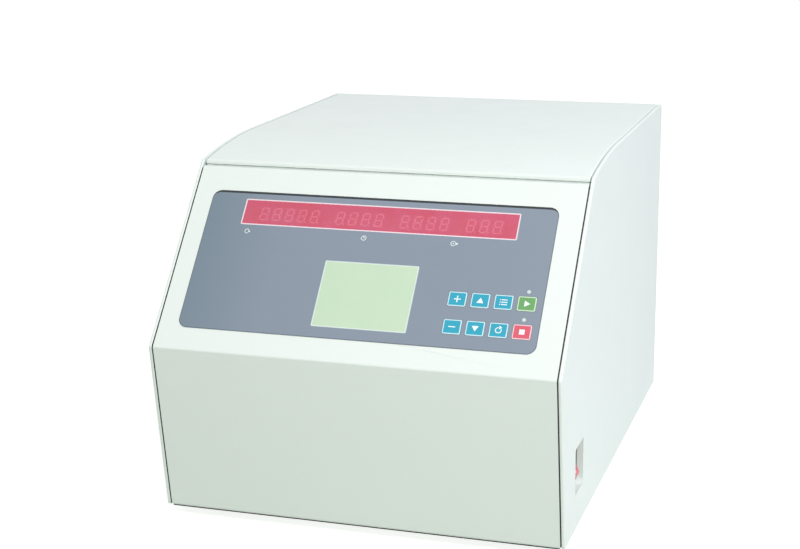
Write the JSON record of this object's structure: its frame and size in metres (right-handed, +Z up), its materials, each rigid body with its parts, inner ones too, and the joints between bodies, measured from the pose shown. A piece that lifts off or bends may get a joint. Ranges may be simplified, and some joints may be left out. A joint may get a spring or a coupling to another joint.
{
  "type": "bench centrifuge",
  "caption": "Electric bench centrifuge with a sloped control panel, a hinged lid over a steel rotor chamber, and a swing-out rotor with hanging buckets.",
  "frame": {"origin": "on the bench, under the middle of the machine's bounding box", "axes": "+X to the operator's right, +Y from the front panel to the rear, +Z up"},
  "size_m": [0.43, 0.5858, 0.376],
  "materials": {
    "cabinet_paint": "semi-matt white powder coat",
    "deck_paint": "semi-matt pale grey powder coat",
    "zinc_sheet": "zinc-plated sheet",
    "bowl_steel": "deep-drawn stainless steel, brushed round",
    "black_rubber": "moulded black rubber",
    "grey_rubber": "grey silicone rubber",
    "motor_paint": "dark stove enamel",
    "bearing_steel": "ground bearing steel",
    "shaft_steel": "turned steel",
    "lamination": "varnished laminations",
    "cast_alloy": "cast and machined aluminium",
    "anodised": "turned, anodised aluminium",
    "liner_plastic": "pressed aluminium sheet, pale coat",
    "slate_film": "fine-textured polyester film",
    "red_pane": "red display filter",
    "crystal_pane": "clear window over a pale green display",
    "board_green": "solder-masked board",
    "digit_grey": "grey-faced digit modules",
    "key_blue": "printed blue key",
    "key_green": "printed green key",
    "key_red": "printed red key",
    "lamp_clear": "clear lamp",
    "black_plastic": "moulded black plastic",
    "rocker_red": "moulded red plastic",
    "solenoid_coat": "coated solenoid frame",
    "contact_brass": "plated contact",
    "heatsink_black": "black anodised extrusion",
    "screw_zinc": "zinc-plated screws"
  },
  "bodies": {
    "housing": {"base_pan": "zinc_sheet", "rubber_feet": "black_rubber", "left_cheek": "cabinet_paint", "right_cheek": "cabinet_paint", "front_fascia": "cabinet_paint", "rear_panel": "cabinet_paint", "front_rail": "deck_paint", "deck_plate": "deck_paint", "chamber_bowl": "bowl_steel", "chamber_seal": "grey_rubber", "shaft_boot": "black_rubber", "motor_can": "motor_paint", "motor_bearings": "bearing_steel", "motor_bracket": "zinc_sheet", "motor_dampers": "black_rubber", "hinge_body_leaves": "zinc_sheet", "latch_bracket": "zinc_sheet", "latch_solenoid": "solenoid_coat", "membrane_panel": "slate_film", "digit_window": "red_pane", "crystal_window": "crystal_pane", "display_board": "board_green", "board_standoffs": "contact_brass", "digit_modules": "digit_grey", "lcd_module": "digit_grey", "indicator_leds": "lamp_clear", "tact_switches": "black_plastic", "switch_well": "cabinet_paint", "rocker_housing": "black_plastic", "power_inlet": "black_plastic", "inlet_pins": "contact_brass", "drive_board": "board_green", "drive_heatsink": "heatsink_black", "case_screws": "screw_zinc"},
    "lid": {"lid_shell": "cabinet_paint", "lid_liner": "liner_plastic", "liner_spacers": "zinc_sheet", "lid_striker": "zinc_sheet", "hinge_lid_leaves": "zinc_sheet", "hinge_pins": "bearing_steel"},
    "latch": {"latch_bolt": "shaft_steel"},
    "rotor": {"motor_shaft": "shaft_steel", "motor_armature": "lamination", "rotor_yoke": "cast_alloy", "trunnion_pins": "bearing_steel", "rotor_nut": "anodised"},
    "bucket_1": {"bucket_1": "anodised"},
    "bucket_2": {"bucket_2": "anodised"},
    "bucket_3": {"bucket_3": "anodised"},
    "bucket_4": {"bucket_4": "anodised"},
    "key_plus": {"key_plus": "key_blue"},
    "key_up": {"key_up": "key_blue"},
    "key_preset": {"key_preset": "key_blue"},
    "key_start": {"key_start": "key_green"},
    "key_minus": {"key_minus": "key_blue"},
    "key_down": {"key_down": "key_blue"},
    "key_recall": {"key_recall": "key_blue"},
    "key_stop": {"key_stop": "key_red"},
    "rocker": {"rocker_switch": "rocker_red"},
    "fuse_drawer": {"fuse_drawer": "black_plastic"}
  },
  "joints": [
    {"name": "lid_hinge", "type": "hinge", "parent": "housing", "child": "lid", "pos_m": [0, 0.2875, 0.349], "axis": [-1, 0, 0], "range_deg": [0, 75]},
    {"name": "bolt_slide", "type": "slide", "parent": "housing", "child": "latch", "axis": [-1, 0, 0], "range_m": [0, 0.008], "stiffness_N_per_m": 250},
    {"name": "rotor_spin", "type": "hinge", "parent": "housing", "child": "rotor", "pos_m": [0, 0.075, 0.3], "axis": [0, 0, 1], "continuous": true},
    {"name": "bucket_1_swing", "type": "hinge", "parent": "rotor", "child": "bucket_1", "pos_m": [0.078, 0.075, 0.3], "axis": [0, -1, 0], "range_deg": [-8, 90]},
    {"name": "bucket_2_swing", "type": "hinge", "parent": "rotor", "child": "bucket_2", "pos_m": [0, 0.153, 0.3], "axis": [1, 0, 0], "range_deg": [-8, 90]},
    {"name": "bucket_3_swing", "type": "hinge", "parent": "rotor", "child": "bucket_3", "pos_m": [-0.078, 0.075, 0.3], "axis": [0, 1, 0], "range_deg": [-8, 90]},
    {"name": "bucket_4_swing", "type": "hinge", "parent": "rotor", "child": "bucket_4", "pos_m": [0, -0.003, 0.3], "axis": [-1, 0, 0], "range_deg": [-8, 90]},
    {"name": "key_plus_press", "type": "slide", "parent": "housing", "child": "key_plus", "axis": [0, 0.7497, -0.6618], "range_m": [0, 0.0005], "stiffness_N_per_m": 2000},
    {"name": "key_up_press", "type": "slide", "parent": "housing", "child": "key_up", "axis": [0, 0.7497, -0.6618], "range_m": [0, 0.0005], "stiffness_N_per_m": 2000},
    {"name": "key_preset_press", "type": "slide", "parent": "housing", "child": "key_preset", "axis": [0, 0.7497, -0.6618], "range_m": [0, 0.0005], "stiffness_N_per_m": 2000},
    {"name": "key_start_press", "type": "slide", "parent": "housing", "child": "key_start", "axis": [0, 0.7497, -0.6618], "range_m": [0, 0.0005], "stiffness_N_per_m": 2000},
    {"name": "key_minus_press", "type": "slide", "parent": "housing", "child": "key_minus", "axis": [0, 0.7497, -0.6618], "range_m": [0, 0.0005], "stiffness_N_per_m": 2000},
    {"name": "key_down_press", "type": "slide", "parent": "housing", "child": "key_down", "axis": [0, 0.7497, -0.6618], "range_m": [0, 0.0005], "stiffness_N_per_m": 2000},
    {"name": "key_recall_press", "type": "slide", "parent": "housing", "child": "key_recall", "axis": [0, 0.7497, -0.6618], "range_m": [0, 0.0005], "stiffness_N_per_m": 2000},
    {"name": "key_stop_press", "type": "slide", "parent": "housing", "child": "key_stop", "axis": [0, 0.7497, -0.6618], "range_m": [0, 0.0005], "stiffness_N_per_m": 2000},
    {"name": "rocker_tilt", "type": "hinge", "parent": "housing", "child": "rocker", "pos_m": [0.202, -0.1985, 0.075], "axis": [0, 1, 0], "range_deg": [0, 22]},
    {"name": "fuse_drawer_slide", "type": "slide", "parent": "housing", "child": "fuse_drawer", "axis": [0, 1, 0], "range_m": [0, 0.014]}
  ]
}
